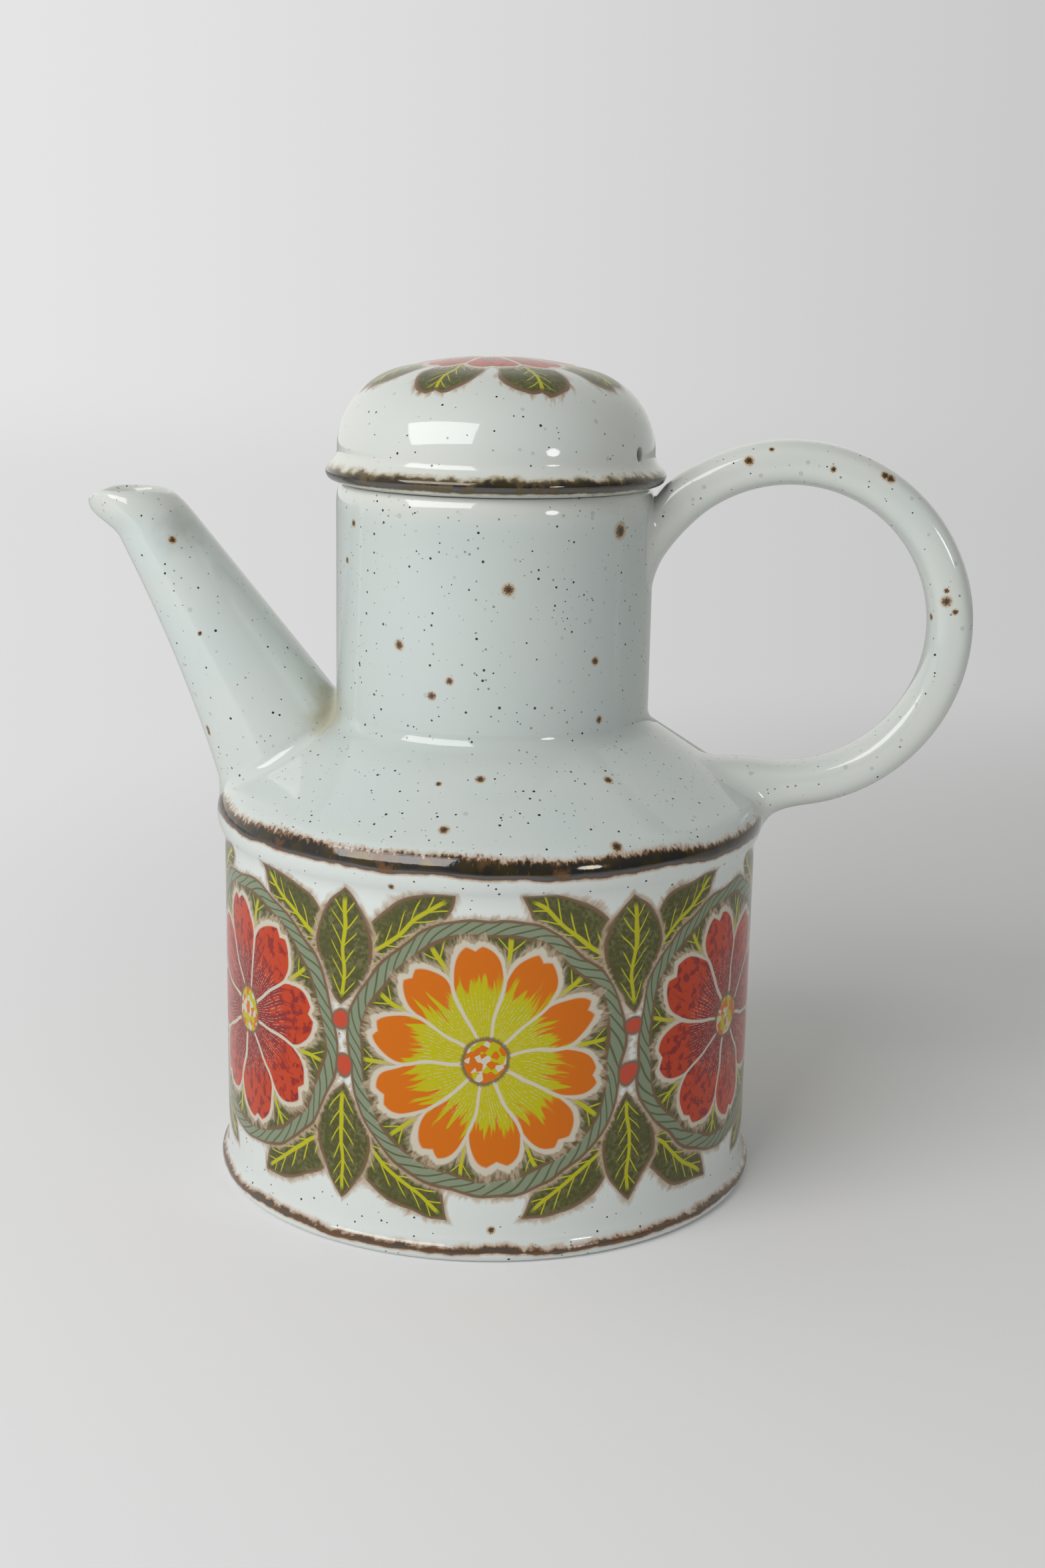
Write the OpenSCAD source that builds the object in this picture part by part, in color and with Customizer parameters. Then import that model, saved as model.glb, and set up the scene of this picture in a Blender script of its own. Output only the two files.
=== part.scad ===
// Stoneware coffee pot with a loose domed lid. Lengths are in millimetres, angles in degrees.
// The origin is on the pot's axis at the table, +Z is up, the spout points along -X
// and the handle along +X.

/* [Pot] */
// Radius of the drum below the shoulder
drum_r = 72; // [62:0.5:82]
// Height of the shoulder's outer edge above the table
shoulder_z = 106; // [92:0.5:122]
// Slope of the shoulder above the horizontal
shoulder_slope = 33; // [28:1:38]
// How far the rounded bead stands out beyond the drum
bead_swell = 2; // [1:0.1:3]
// Height of the shoulder's edge above the widest part of the bead
bead_drop = 6; // [5:0.1:8]
// Outer radius of the neck
neck_r = 42; // [38:0.5:46]
// Length of the neck above the shoulder
neck_h = 62; // [52:0.5:74]
// Radius of the fillet between neck and shoulder
neck_fillet = 6; // [3:0.5:9]
// Thickness of the cast wall
wall = 4.5; // [3.5:0.1:6]

/* [Base] */
// How far the base flares out beyond the drum
flare = 2; // [1:0.1:3.5]
// Height over which the base flares
flare_h = 9; // [6:0.5:14]
// Radius of the flare's rounded edge
flare_lip = 2.4; // [1.5:0.1:3]
// Width of the foot ring
foot_w = 7; // [5:0.5:10]
// Depth of the recess inside the foot ring
foot_recess = 2.5; // [1.5:0.1:4]
// Thickness of the floor
floor_t = 5.5; // [4:0.1:8]
// Radius of the fillet between floor and wall inside
floor_fillet = 8; // [4:0.5:12]

/* [Spout] */
// Distance from the axis to the front of the mouth, without the beak
spout_reach = 107; // [98:0.5:116]
// Depth of the mouth's rim below the rim of the neck
mouth_drop = 3.5; // [0:0.5:12]
// Length of the mouth from back to front, without the beak
mouth_len = 21; // [18:0.5:25]
// Width of the mouth
mouth_w = 22; // [18:0.5:26]
// Width of the spout at its root
spout_root_w = 40; // [34:0.5:46]
// How far the beak is drawn out
beak = 3; // [0:0.5:5]
// Wall of the spout
spout_wall = 3.4; // [2.6:0.1:4]
// Lean of the spout's front from the vertical at its root
spout_lean = 16; // [10:1:22]
// Radius of the hole pierced through the shoulder behind the spout
pierced_r = 12.5; // [9:0.5:14]

/* [Handle] */
// Radius of the round finger opening
grip_r = 37.2; // [34:0.2:40]
// Thickness of the strap, from the finger opening outwards
strap_t = 11.6; // [9:0.2:14]
// Width of the strap
strap_w = 15.5; // [12:0.5:20]
// Distance from the neck to the centre of the finger opening
grip_out = 36; // [33:0.5:40]
// Depth of the finger opening's centre below the rim of the neck
grip_drop = 35.4; // [32:0.2:40]
// How much the strap spreads at its two roots
root_spread = 2.5; // [0:0.5:4]

/* [Lid] */
// How far the lid's flared rim stands out beyond the neck
rim_out = 2.8; // [1.5:0.1:5]
// Thickness of the rim's rounded edge
rim_t = 4.4; // [3:0.1:5]
// How far the lid's side wall stands in from the face of the neck
dome_in = 0.2; // [-1:0.1:3]
// Height of the lid above its seat
lid_h = 32.8; // [28:0.1:40]
// Radius of the curve between side wall and crown
dome_corner = 21.5; // [12:0.5:26]
// Radius of the crown's curve
crown_r = 102; // [75:1:160]
// Wall of the lid
lid_wall = 4.5; // [3.5:0.1:5.5]
// Depth of the ring that drops into the neck
plug_h = 9.5; // [6:0.5:14]
// Thickness of that ring
plug_t = 3.5; // [2.5:0.1:4.5]
// Clearance all round between the ring and the neck
plug_gap = 0.8; // [0.5:0.1:1.5]
// Clearance between the lid and the rim of the neck
seat_gap = 0.3; // [0.2:0.05:0.5]
// Radius of the steam hole
vent_r = 1.8; // [1:0.1:3]
// Height of the steam hole above the lid's seat
vent_z = 9.6; // [8.5:0.1:12]
// Turn of the steam hole from the handle
vent_turn = -25; // [-180:1:180]

/* [Hidden] */
$fn = 128;
GLAZE = [0.83, 0.86, 0.84];
// Reach of a cutting tool past the material that it cuts
PAST = 4;

// The shoulder: its surface, and the surface inside it, as a height for each radius
function shoulder_at(r) = shoulder_z + (drum_r - r) * tan(shoulder_slope);
function inner_shoulder_at(r) = shoulder_at(r) - wall / cos(shoulder_slope);
neck_top = shoulder_at(neck_r) + neck_h;

// The bead is an arc that ends tangent to the shoulder and swells past the drum
bead_z = shoulder_z - bead_drop;
bead_in = (bead_drop * cos(shoulder_slope) - bead_swell) / (1 - sin(shoulder_slope));
bead_r = bead_swell + bead_in;

// The fillet at the foot of the neck, tangent to neck and shoulder
fillet_r = neck_r + neck_fillet;
fillet_z = shoulder_at(fillet_r) + neck_fillet / cos(shoulder_slope);

// The hollow inside
inner_drum_r = drum_r - wall;
inner_neck_r = neck_r - wall;
floor_z = foot_recess + floor_t;

// Radius of the round on both edges of the neck's rim
LIP_R = 1.4;
// Where the flare's rounded edge ends, and how soon the flare turns up into the drum
FLARE_END = 25;
FLARE_BEND = 0.45;

// The lid's own heights start at its seat, and its radii follow the neck
seat_z = neck_top + seat_gap;
plug_r = inner_neck_r - plug_gap;
rim_r = neck_r + rim_out;
dome_r = neck_r - dome_in;

// Points of an arc, and of curves with one and two control points
function arc(c, r, a0, a1, n = 12) =
    [for (i = [0:n]) let (a = a0 + (a1 - a0) * i / n) c + r * [cos(a), sin(a)]];
function bend(p, q, r, t) = (1 - t) * (1 - t) * p + 2 * t * (1 - t) * q + t * t * r;
function curve(p, q, r, s, t) =
    pow(1 - t, 3) * p + 3 * t * pow(1 - t, 2) * q + 3 * t * t * (1 - t) * r + pow(t, 3) * s;

// Half outline of the pot's outside, from the foot ring to the rim of the neck
flare_mid = [drum_r + flare - flare_lip, flare_lip];
function outside() = concat(
    arc(flare_mid, flare_lip, -90, FLARE_END, 8),
    [for (i = [1:6]) bend(flare_mid + flare_lip * [cos(FLARE_END), sin(FLARE_END)],
                          [drum_r, flare_h * FLARE_BEND], [drum_r, flare_h], i / 6)],
    arc([drum_r - bead_in, bead_z], bead_r, -acos(bead_in / bead_r), 90 - shoulder_slope, 20),
    arc([fillet_r, fillet_z], neck_fillet, 270 - shoulder_slope, 180),
    arc([neck_r - LIP_R, neck_top - LIP_R], LIP_R, 0, 90, 6));

// Half outline of the hollow, from the rim of the neck down to the floor
function inside() = concat(
    arc([inner_neck_r + LIP_R, neck_top - LIP_R], LIP_R, 90, 180, 6),
    arc([fillet_r, fillet_z], neck_fillet + wall, 180, 270 - shoulder_slope),
    [[inner_drum_r, inner_shoulder_at(inner_drum_r)]],
    arc([inner_drum_r - floor_fillet, floor_z + floor_fillet], floor_fillet, 0, -90, 8),
    [[0, floor_z]]);

// Half outline under the base: the recess inside the foot ring
function under_base() =
    let (r = flare_mid[0] - foot_w)
    [[0, foot_recess], [r - foot_recess, foot_recess], [r, 0]];

// The pot filled in, which trims whatever is luted on its outside
module filled_pot() {
    rotate_extrude() polygon(concat([[0, neck_top], [0, 0]], outside()));
}

// A skin through rings that have the same number of points, closed at both ends
module skin(rings) {
    n = len(rings[0]);
    last = len(rings) - 1;
    sides = [for (k = [0:last - 1], i = [0:n - 1]) let (j = (i + 1) % n)
        each [[k * n + i, k * n + j, (k + 1) * n + i], [k * n + j, (k + 1) * n + j, (k + 1) * n + i]]];
    polyhedron([for (ring = rings) each ring],
               concat(sides, [[for (i = [0:n - 1]) n - 1 - i]], [[for (i = [0:n - 1]) last * n + i]]));
}

// The pot without its spout, handle and lid: a cast shell with a hole pierced behind the spout
module pot_body() {
    color(GLAZE) difference() {
        rotate_extrude() polygon(concat(under_base(), outside(), inside()));
        translate([-root_mid[0], 0, root_mid[1]]) rotate([0, -shoulder_slope, 0])
            cylinder(r = pierced_r, h = 2 * (wall + PAST), center = true);
    }
}

// Shares of the spout's length: its front bows to BOW_AT, its root's spread ends at SPREAD_TO,
// the beak is drawn out from BEAK_FROM to BEAK_TO, and the skin runs OVER past the mouth to be cut level
BOW_AT = 0.48;
SPREAD_TO = 0.14;
BEAK_FROM = 0.8;
BEAK_TO = 0.95;
OVER = 0.06;
// How far inwards and down the spout's first ring is buried in the pot
BURIED = [5, 8];

// The spout is a skin between a front edge and a back edge, both drawn outwards from the axis
mouth_z = neck_top - mouth_drop;
front_root = [drum_r + 0.7 * bead_swell, shoulder_z - bead_drop / 2];
front_mouth = [spout_reach, mouth_z];
front_bow = front_root + BOW_AT * (mouth_z - front_root[1]) * [tan(spout_lean), 1];
back_root = [neck_r, fillet_z + 1];
back_mouth = [spout_reach - mouth_len, mouth_z];
root_mid = (front_root + back_root) / 2;
SPOUT_SIDES = 36;
SPOUT_STEPS = 18;

function ease(v) = let (c = max(0, min(1, v))) c * c * (3 - 2 * c);
function beak_at(t) = ease((t - BEAK_FROM) / (BEAK_TO - BEAK_FROM));
function spread_at(t) = root_spread * pow(max(0, 1 - t / SPREAD_TO), 2);
function front_at(t) = bend(front_root, front_bow, front_mouth, t) + [beak * beak_at(t), 0];
function back_at(t) = back_root + t * (back_mouth - back_root) - [spread_at(t), 0];
function half_width_at(t) = (spout_root_w + t * (mouth_w - spout_root_w)) / 2 + spread_at(t);

// One ring of the spout, between a front and a back point; inset makes the bore
function spout_ring(front, back, half_w, pinch, inset) =
    let (mid = (front + back) / 2, u = (front - back) / 2, k = 1 - inset / norm(u))
    [for (i = [0:SPOUT_SIDES - 1]) let (a = 360 * i / SPOUT_SIDES)
        [mid[0] + k * u[0] * cos(a),
         (half_w - inset) * sin(a) * (1 - pinch * pow(max(0, cos(a)), 2)),
         mid[1] + k * u[1] * cos(a)]];
function spout_ring_at(t, inset) =
    spout_ring(front_at(t), back_at(t), half_width_at(t), 2 * beak / mouth_w * beak_at(t), inset);
// A ring well inside the pot, which the filled pot trims away
function buried_spout_ring(inset) =
    spout_ring(front_root - BURIED, back_root - BURIED, spout_root_w / 2, 0, inset);

module spout_skin(inset, over) {
    skin(concat([spout_ring_at(1 + over, inset)],
                [for (i = [SPOUT_STEPS:-1:0]) spout_ring_at(i / SPOUT_STEPS, inset)],
                [buried_spout_ring(inset)]));
}

module spout() {
    color(GLAZE) mirror([1, 0, 0]) difference() {
        spout_skin(0, OVER);
        spout_skin(spout_wall, 2 * OVER);
        translate([0, -mouth_w, mouth_z]) cube([2 * spout_reach, 2 * mouth_w, 4 * PAST]);
        filled_pot();
    }
}

// The handle is a skin between an outer and an inner edge: a ring whose two ends run into the pot
grip = [neck_r + grip_out, neck_top - grip_drop];
STRAP_SIDES = 20;
STRAP_STEPS = 36;
ROOT_STEPS = 8;
// Exponent of the strap's section, an ellipse with fuller corners
ROUND = 2 / 2.4;
// Where the outer and inner edges leave the ring for their roots, as turns about the grip's centre
OUTER = [118, -80];
INNER = [125, -95];
// Ends of the four edges at the pot, each with the point that the edge bends towards on its way.
// The upper ones are measured from the neck's rim, the lower ones from the drum and the bead or shoulder.
UPPER_OUTER = [[-0.5, -3], [3.5, 3.1]];
UPPER_INNER = [[-0.4, -24.5], [1.8, -17]];
LOWER_OUTER = [[0.5, -2], [5.5, 2.6]];
LOWER_INNER = [[-15, -1], [-7, 5.7]];
// The same for the handle's first and last ring, which are buried in the pot
UPPER_BURIED = [[-6, -5], [-6, -21]];
LOWER_BURIED = [[-6, -8], [-21, -10]];

function on_ring(r, a) = grip + r * [cos(a), sin(a)];
function heading(a) = [-sin(a), cos(a)];
function by_rim(v) = [neck_r, neck_top] + v;
function by_bead(v) = [drum_r, bead_z] + v;
function by_shoulder(v) = [drum_r + v[0], shoulder_at(drum_r + v[0]) + v[1]];
outer_r = grip_r + strap_t;
upper_pull = strap_t / 2;
lower_pull = strap_t / 2.5;

function upper_outer(t) =
    curve(by_rim(UPPER_OUTER[0]), by_rim(UPPER_OUTER[1]),
          on_ring(outer_r, OUTER[0]) + upper_pull * heading(OUTER[0]), on_ring(outer_r, OUTER[0]), t);
function upper_inner(t) =
    curve(by_rim(UPPER_INNER[0]), by_rim(UPPER_INNER[1]),
          on_ring(grip_r, INNER[0]) + upper_pull * heading(INNER[0]), on_ring(grip_r, INNER[0]), t);
function lower_outer(t) =
    curve(on_ring(outer_r, OUTER[1]), on_ring(outer_r, OUTER[1]) - lower_pull * heading(OUTER[1]),
          by_bead(LOWER_OUTER[1]), by_bead(LOWER_OUTER[0]), t);
function lower_inner(t) =
    curve(on_ring(grip_r, INNER[1]), on_ring(grip_r, INNER[1]) - lower_pull * heading(INNER[1]),
          by_shoulder(LOWER_INNER[1]), by_shoulder(LOWER_INNER[0]), t);

function full(v) = sign(v) * pow(abs(v), ROUND);
function strap_ring(outer, inner, spread) =
    let (mid = (outer + inner) / 2, u = (outer - inner) / 2, half_w = strap_w / 2 + root_spread * spread)
    [for (i = [0:STRAP_SIDES - 1]) let (a = 360 * i / STRAP_SIDES)
        [mid[0] + u[0] * full(cos(a)), half_w * full(sin(a)), mid[1] + u[1] * full(cos(a))]];

module handle() {
    color(GLAZE) difference() {
        skin(concat(
            [strap_ring(by_rim(UPPER_BURIED[0]), by_rim(UPPER_BURIED[1]), 1)],
            [for (i = [0:ROOT_STEPS]) let (t = i / ROOT_STEPS)
                strap_ring(upper_outer(t), upper_inner(t), pow(1 - t, 2))],
            [for (i = [1:STRAP_STEPS - 1]) let (t = i / STRAP_STEPS)
                strap_ring(on_ring(outer_r, OUTER[0] + t * (OUTER[1] - OUTER[0])),
                           on_ring(grip_r, INNER[0] + t * (INNER[1] - INNER[0])), 0)],
            [for (i = [0:ROOT_STEPS]) let (t = i / ROOT_STEPS)
                strap_ring(lower_outer(t), lower_inner(t), pow(t, 2))],
            [strap_ring(by_bead(LOWER_BURIED[0]), by_shoulder(LOWER_BURIED[1]), 1)]));
        filled_pot();
    }
}

// The lid: a dome whose side curves into a shallow crown, a rounded rim, and the ring under it
crown_z = seat_z + lid_h - crown_r;
corner = [dome_r - dome_corner,
          crown_z + sqrt(pow(crown_r - dome_corner, 2) - pow(dome_r - dome_corner, 2))];
corner_to = atan2(corner[1] - crown_z, corner[0]);
// Height of the rim's rounded edge above the seat, and the width of the seat's edge inside it
RIM_LIFT = 0.6;
SEAT_EDGE = 1;
rim_mid = [rim_r - rim_t / 2, seat_z + RIM_LIFT + rim_t / 2];
// The rim's round ends at COVE_FROM. From there a cove runs on along the round's tangent and meets
// the side wall at COVE_H above the rim's middle, or where the dome's curve starts if that is lower.
COVE_FROM = 50;
COVE_H = 5.6;
cove_start = rim_mid + rim_t / 2 * [cos(COVE_FROM), sin(COVE_FROM)];
cove_bend = [dome_r, cove_start[1] + (cove_start[0] - dome_r) / tan(COVE_FROM)];
cove_top = min(rim_mid[1] + COVE_H, corner[1] - 0.1);
// Inside, the dome's wall meets the ring's wall between these heights above the rim's middle
INNER_BEND = [2, 4];
inner_top = min(rim_mid[1] + INNER_BEND[1], corner[1] - 0.1);

function lid_outside() = concat(
    [[plug_r, seat_z], [rim_mid[0] - SEAT_EDGE, seat_z]],
    arc(rim_mid, rim_t / 2, -75, COVE_FROM, 10),
    [for (i = [1:6]) bend(cove_start, cove_bend, [dome_r, cove_top], i / 6)],
    arc(corner, dome_corner, 0, corner_to, 14),
    arc([0, crown_z], crown_r, corner_to, 90, 10));
function lid_inside() = concat(
    arc([0, crown_z], crown_r - lid_wall, 90, corner_to, 10),
    arc(corner, dome_corner - lid_wall, corner_to, 0, 10),
    [for (i = [1:6]) bend([dome_r - lid_wall, inner_top],
                          [plug_r - plug_t, rim_mid[1] + INNER_BEND[0]],
                          [plug_r - plug_t, seat_z - RIM_LIFT], i / 6)],
    arc([plug_r - plug_t / 2, seat_z - plug_h + plug_t / 2], plug_t / 2, 180, 360, 10));

module lid() {
    color(GLAZE) difference() {
        rotate_extrude() polygon(concat(lid_outside(), lid_inside()));
        rotate([0, 0, vent_turn]) translate([dome_r - lid_wall - PAST, 0, seat_z + vent_z])
            rotate([0, 90, 0]) cylinder(r = vent_r, h = lid_wall + 2 * PAST);
    }
}

pot_body();
spout();
handle();
lid();
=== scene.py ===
# %% [markdown]
# # A speckled stoneware coffee pot
#
# The pot is cast stoneware under a pale grey-green glaze. Its drum carries a sloping shoulder and
# a straight neck, a spout and a ring handle are luted on with slip, and a domed lid lifts off.
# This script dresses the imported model: it draws each piece again as a fine mesh, glazes it with
# nodes, and sets it on a pale floor.
#
# Blender works in metres. A potter measures in millimetres, so every length below is in
# millimetres, and each piece is scaled once when it is finished.

# %% Load the frame
import math

import bmesh
import bpy
import numpy as np
from mathutils import Matrix, Quaternion, Vector


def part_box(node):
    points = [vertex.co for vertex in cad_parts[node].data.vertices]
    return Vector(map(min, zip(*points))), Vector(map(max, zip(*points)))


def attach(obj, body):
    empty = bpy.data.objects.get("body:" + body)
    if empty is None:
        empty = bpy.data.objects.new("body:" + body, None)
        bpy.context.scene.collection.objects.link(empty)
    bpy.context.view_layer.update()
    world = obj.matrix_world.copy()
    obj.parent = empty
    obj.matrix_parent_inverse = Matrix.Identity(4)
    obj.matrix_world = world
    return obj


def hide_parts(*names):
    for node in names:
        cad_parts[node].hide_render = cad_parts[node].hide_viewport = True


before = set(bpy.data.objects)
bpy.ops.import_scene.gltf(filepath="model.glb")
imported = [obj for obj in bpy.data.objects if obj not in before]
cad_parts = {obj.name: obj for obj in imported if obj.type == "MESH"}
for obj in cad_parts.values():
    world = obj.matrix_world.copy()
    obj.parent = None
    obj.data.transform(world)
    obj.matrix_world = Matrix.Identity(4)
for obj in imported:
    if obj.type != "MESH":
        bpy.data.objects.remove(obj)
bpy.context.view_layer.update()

MM = 0.001

# %% [markdown]
# ## Sizes
#
# The few sizes that the frame's boxes give are read from them, so that the dressed pot grows and
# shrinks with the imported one. The rest are the potter's own choices: walls, fillets and roundings.

# %% Sizes of the pot, from the frame's boxes
_, pot_high = [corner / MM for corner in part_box("pot_body")]
spout_low, spout_high = [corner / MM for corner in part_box("spout")]
_, handle_high = [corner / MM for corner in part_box("handle")]
lid_low, lid_high = [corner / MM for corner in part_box("lid")]

FLARE = 2.0
DRUM_R = pot_high.x - FLARE
NECK_TOP = pot_high.z
NECK_R = 42.0
NECK_H = 62.0
SLOPE = math.radians(33)
SHOULDER_Z = NECK_TOP - NECK_H - (DRUM_R - NECK_R) * math.tan(SLOPE)
WALL = 4.5
print(f"drum {DRUM_R:.1f}, shoulder at {SHOULDER_Z:.1f}, rim of the neck at {NECK_TOP:.1f}")

# %% [markdown]
# ## Outlines for the wheel
#
# The body and the lid are round, so each is one half outline spun about its axis, as a turner
# shapes the model that the mould is cast from. Straight stretches need few points. The rounds
# are arcs, because an even arc catches the light as one clean line.

# %% Helpers that draw an outline
def arc(centre, radius, start, end, steps):
    """Points of an arc, as (radius, height). Angles are in degrees from the outward level."""
    turns = [math.radians(start + (end - start) * i / steps) for i in range(steps + 1)]
    return [(centre[0] + radius * math.cos(a), centre[1] + radius * math.sin(a)) for a in turns]


def bow(a, b, c, t):
    """A point of the curve that leaves a towards b and reaches c."""
    return tuple((1 - t) ** 2 * p + 2 * t * (1 - t) * q + t * t * r for p, q, r in zip(a, b, c))


def bend(a, b, c, steps):
    """Points of that curve, without its first."""
    return [bow(a, b, c, i / steps) for i in range(1, steps + 1)]


CLOSE = 0.3


def run(a, b, steps):
    """Points between two ends, without the ends. The outer two lie close to the ends, so that
    the smooth shading of a round doesn't spread into the straight stretch beside it."""
    near = CLOSE / math.dist(a, b)
    shares = [near] + [i / steps for i in range(1, steps)] + [1 - near]
    return [tuple(p + (q - p) * share for p, q in zip(a, b)) for share in shares]


# %% The outside of the pot, from the foot ring to the rim of the neck
FLARE_H = 9.0
FLARE_LIP = 2.4
BEAD_SWELL = 2.0
BEAD_DROP = 6.0
BEAD_FOOT = 30
BELOW_BEAD = 4.2
BEAD_PULL = 1.6
NECK_FILLET = 6.0
LIP_IN = 1.8
LIP_DOWN = 5.0

slope_deg = math.degrees(SLOPE)
bead_z = SHOULDER_Z - BEAD_DROP
bead_in = (BEAD_DROP * math.cos(SLOPE) - BEAD_SWELL) / (1 - math.sin(SLOPE))
bead_r = BEAD_SWELL + bead_in
fillet_r = NECK_R + NECK_FILLET
fillet_z = SHOULDER_Z + (DRUM_R - fillet_r) * math.tan(SLOPE) + NECK_FILLET / math.cos(SLOPE)
flare_mid = (DRUM_R + FLARE - FLARE_LIP, FLARE_LIP)

foot_lip = arc(flare_mid, FLARE_LIP, -90, 25, 10)
flare = bend(foot_lip[-1], (DRUM_R, FLARE_H * 0.45), (DRUM_R, FLARE_H), 10)
bead = arc((DRUM_R - bead_in, bead_z), bead_r, -BEAD_FOOT, 90 - slope_deg, 34)
under_bead = bend((DRUM_R, bead[0][1] - BELOW_BEAD), (DRUM_R, bead[0][1] - BEAD_PULL),
                  bead[0], 6)[:-1]
neck_fillet = arc((fillet_r, fillet_z), NECK_FILLET, 270 - slope_deg, 180, 16)
lip = [(NECK_R - LIP_IN * (1 - math.cos(a)), NECK_TOP - LIP_DOWN * (1 - math.sin(a)))
       for a in np.linspace(0, math.pi / 2, 21)]
SKIN = (foot_lip + flare + run(flare[-1], under_bead[0], 12) + under_bead + bead
        + run(bead[-1], neck_fillet[0], 10) + neck_fillet + run(neck_fillet[-1], lip[0], 8) + lip)
print(f"outside of the pot: {len(SKIN)} points")

# %% The hollow and the underside
FOOT_W = 7.0
FOOT_RECESS = 2.5
FLOOR_T = 5.5
FLOOR_FILLET = 8.0
INNER_LIP_R = 1.4

floor_z = FOOT_RECESS + FLOOR_T
inner_drum_r = DRUM_R - WALL
inner_neck_r = NECK_R - WALL
inner_edge = (inner_drum_r, SHOULDER_Z + WALL * math.tan(SLOPE) - WALL / math.cos(SLOPE))
foot_in = flare_mid[0] - FOOT_W
hollow = (arc((inner_neck_r + INNER_LIP_R, NECK_TOP - INNER_LIP_R), INNER_LIP_R, 90, 180, 8)
          + [(inner_neck_r, NECK_TOP - INNER_LIP_R - CLOSE)]
          + arc((fillet_r, fillet_z), NECK_FILLET + WALL, 180, 270 - slope_deg, 12)
          + [inner_edge]
          + arc((inner_drum_r - FLOOR_FILLET, floor_z + FLOOR_FILLET), FLOOR_FILLET, 0, -90, 10)
          + [(0, floor_z)])
underside = [(0, FOOT_RECESS), (foot_in - FOOT_RECESS, FOOT_RECESS), (foot_in, 0)]
print(f"hollow: {len(hollow)} points, underside: {len(underside)} points")

# %% [markdown]
# ## Spinning and finishing
#
# `spin` turns an outline into a closed shell. Its two ends lie on the axis, so doubles are merged
# there. Then the normals are made to point outwards, because spin may leave them inside out.
# Edges where two faces meet at a real angle are marked sharp, and all others are shaded smooth.

# %% Helpers that spin an outline and finish a piece
AROUND = 192
SHARP = math.radians(38)
SAME_POINT = 1e-3


def spun(outline, around=AROUND):
    """A closed shell: the outline turned once about the Z axis."""
    bm = bmesh.new()
    points = [bm.verts.new((r, 0, z)) for r, z in outline]
    lines = [bm.edges.new(pair) for pair in zip(points, points[1:])]
    bmesh.ops.spin(bm, geom=points + lines, cent=(0, 0, 0), axis=(0, 0, 1), angle=2 * math.pi,
                   steps=around, use_merge=True)
    bmesh.ops.remove_doubles(bm, verts=bm.verts, dist=SAME_POINT)
    bmesh.ops.recalc_face_normals(bm, faces=bm.faces)
    return bm


def as_object(bm, name):
    """Scales a shape to metres and links it to the scene under its name."""
    bmesh.ops.scale(bm, vec=(MM, MM, MM), verts=bm.verts)
    for face in bm.faces:
        face.smooth = True
    for edge in bm.edges:
        edge.smooth = edge.calc_face_angle(0) < SHARP
    mesh = bpy.data.meshes.new(name)
    bm.to_mesh(mesh)
    bm.free()
    piece = bpy.data.objects.new(name, mesh)
    bpy.context.scene.collection.objects.link(piece)
    return piece


def holed(piece, drill):
    """Cuts the drill out of the piece, and throws the drill away."""
    cut = piece.modifiers.new("Hole", "BOOLEAN")
    cut.operation = "DIFFERENCE"
    cut.solver = "EXACT"
    cut.object = drill
    bpy.context.view_layer.update()
    seen = piece.evaluated_get(bpy.context.evaluated_depsgraph_get())
    cut_mesh = bpy.data.meshes.new_from_object(seen)
    piece.modifiers.clear()
    piece.data = cut_mesh
    bpy.data.objects.remove(drill)
    print(f"{piece.name}: {len(cut_mesh.vertices)} vertices")


def settle(piece, node, body, material):
    """Glazes a finished piece, hangs it on what carries it, and hides the CAD node that it stands
    for.
    """
    piece.data.materials.clear()
    piece.data.materials.append(material)
    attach(piece, body)
    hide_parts(node)
    print(f"{piece.name}: {sum(len(p.vertices) - 2 for p in piece.data.polygons)} triangles")


# %% [markdown]
# ## The pot
#
# One spin gives the outside, the rim, the hollow and the underside. The spout's root will run from
# the bead to the foot of the neck. The hole behind its middle is pierced with a drill: a cylinder
# set square to the shoulder, wide enough to let coffee through.

# %% Spin the pot and pierce its shoulder
PIERCED_R = 12.5
DRILL_REACH = 12.0

front_root = (DRUM_R + 0.7 * BEAD_SWELL, SHOULDER_Z - BEAD_DROP / 2)
back_root = (NECK_R, fillet_z + 1)
root_r, root_z = [(front + back) / 2 for front, back in zip(front_root, back_root)]
pot = as_object(spun(underside + SKIN + hollow), "cast_pot")
drill = bmesh.new()
bmesh.ops.create_cone(drill, cap_ends=True, segments=64, radius1=PIERCED_R, radius2=PIERCED_R,
                      depth=2 * DRILL_REACH)
bmesh.ops.rotate(drill, verts=drill.verts, matrix=Matrix.Rotation(-SLOPE, 3, "Y"))
bmesh.ops.translate(drill, verts=drill.verts, vec=(-root_r, 0, root_z))
holed(pot, as_object(drill, "shoulder_drill"))

# %% [markdown]
# ## Luting
#
# A luted joint isn't a crease. The potter scores both faces, presses them together with slip and
# runs a finger round the seam, and the glaze then pools in it, so the joint is a small cove.
#
# Both the spout and the handle are skins through rings. Along each line of such a skin we look
# for the points that stand off the pot by less than the cove's radius, and push them sideways
# along the pot's surface, as a quarter circle does. The last ring is tucked under the surface.

# %% Helpers that measure how far a point stands off the pot
HALVINGS = 24

skin_a = np.array(SKIN[:-1])
skin_run = np.diff(np.array(SKIN), axis=0)
skin_length = np.hypot(skin_run[:, 0], skin_run[:, 1])


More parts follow.
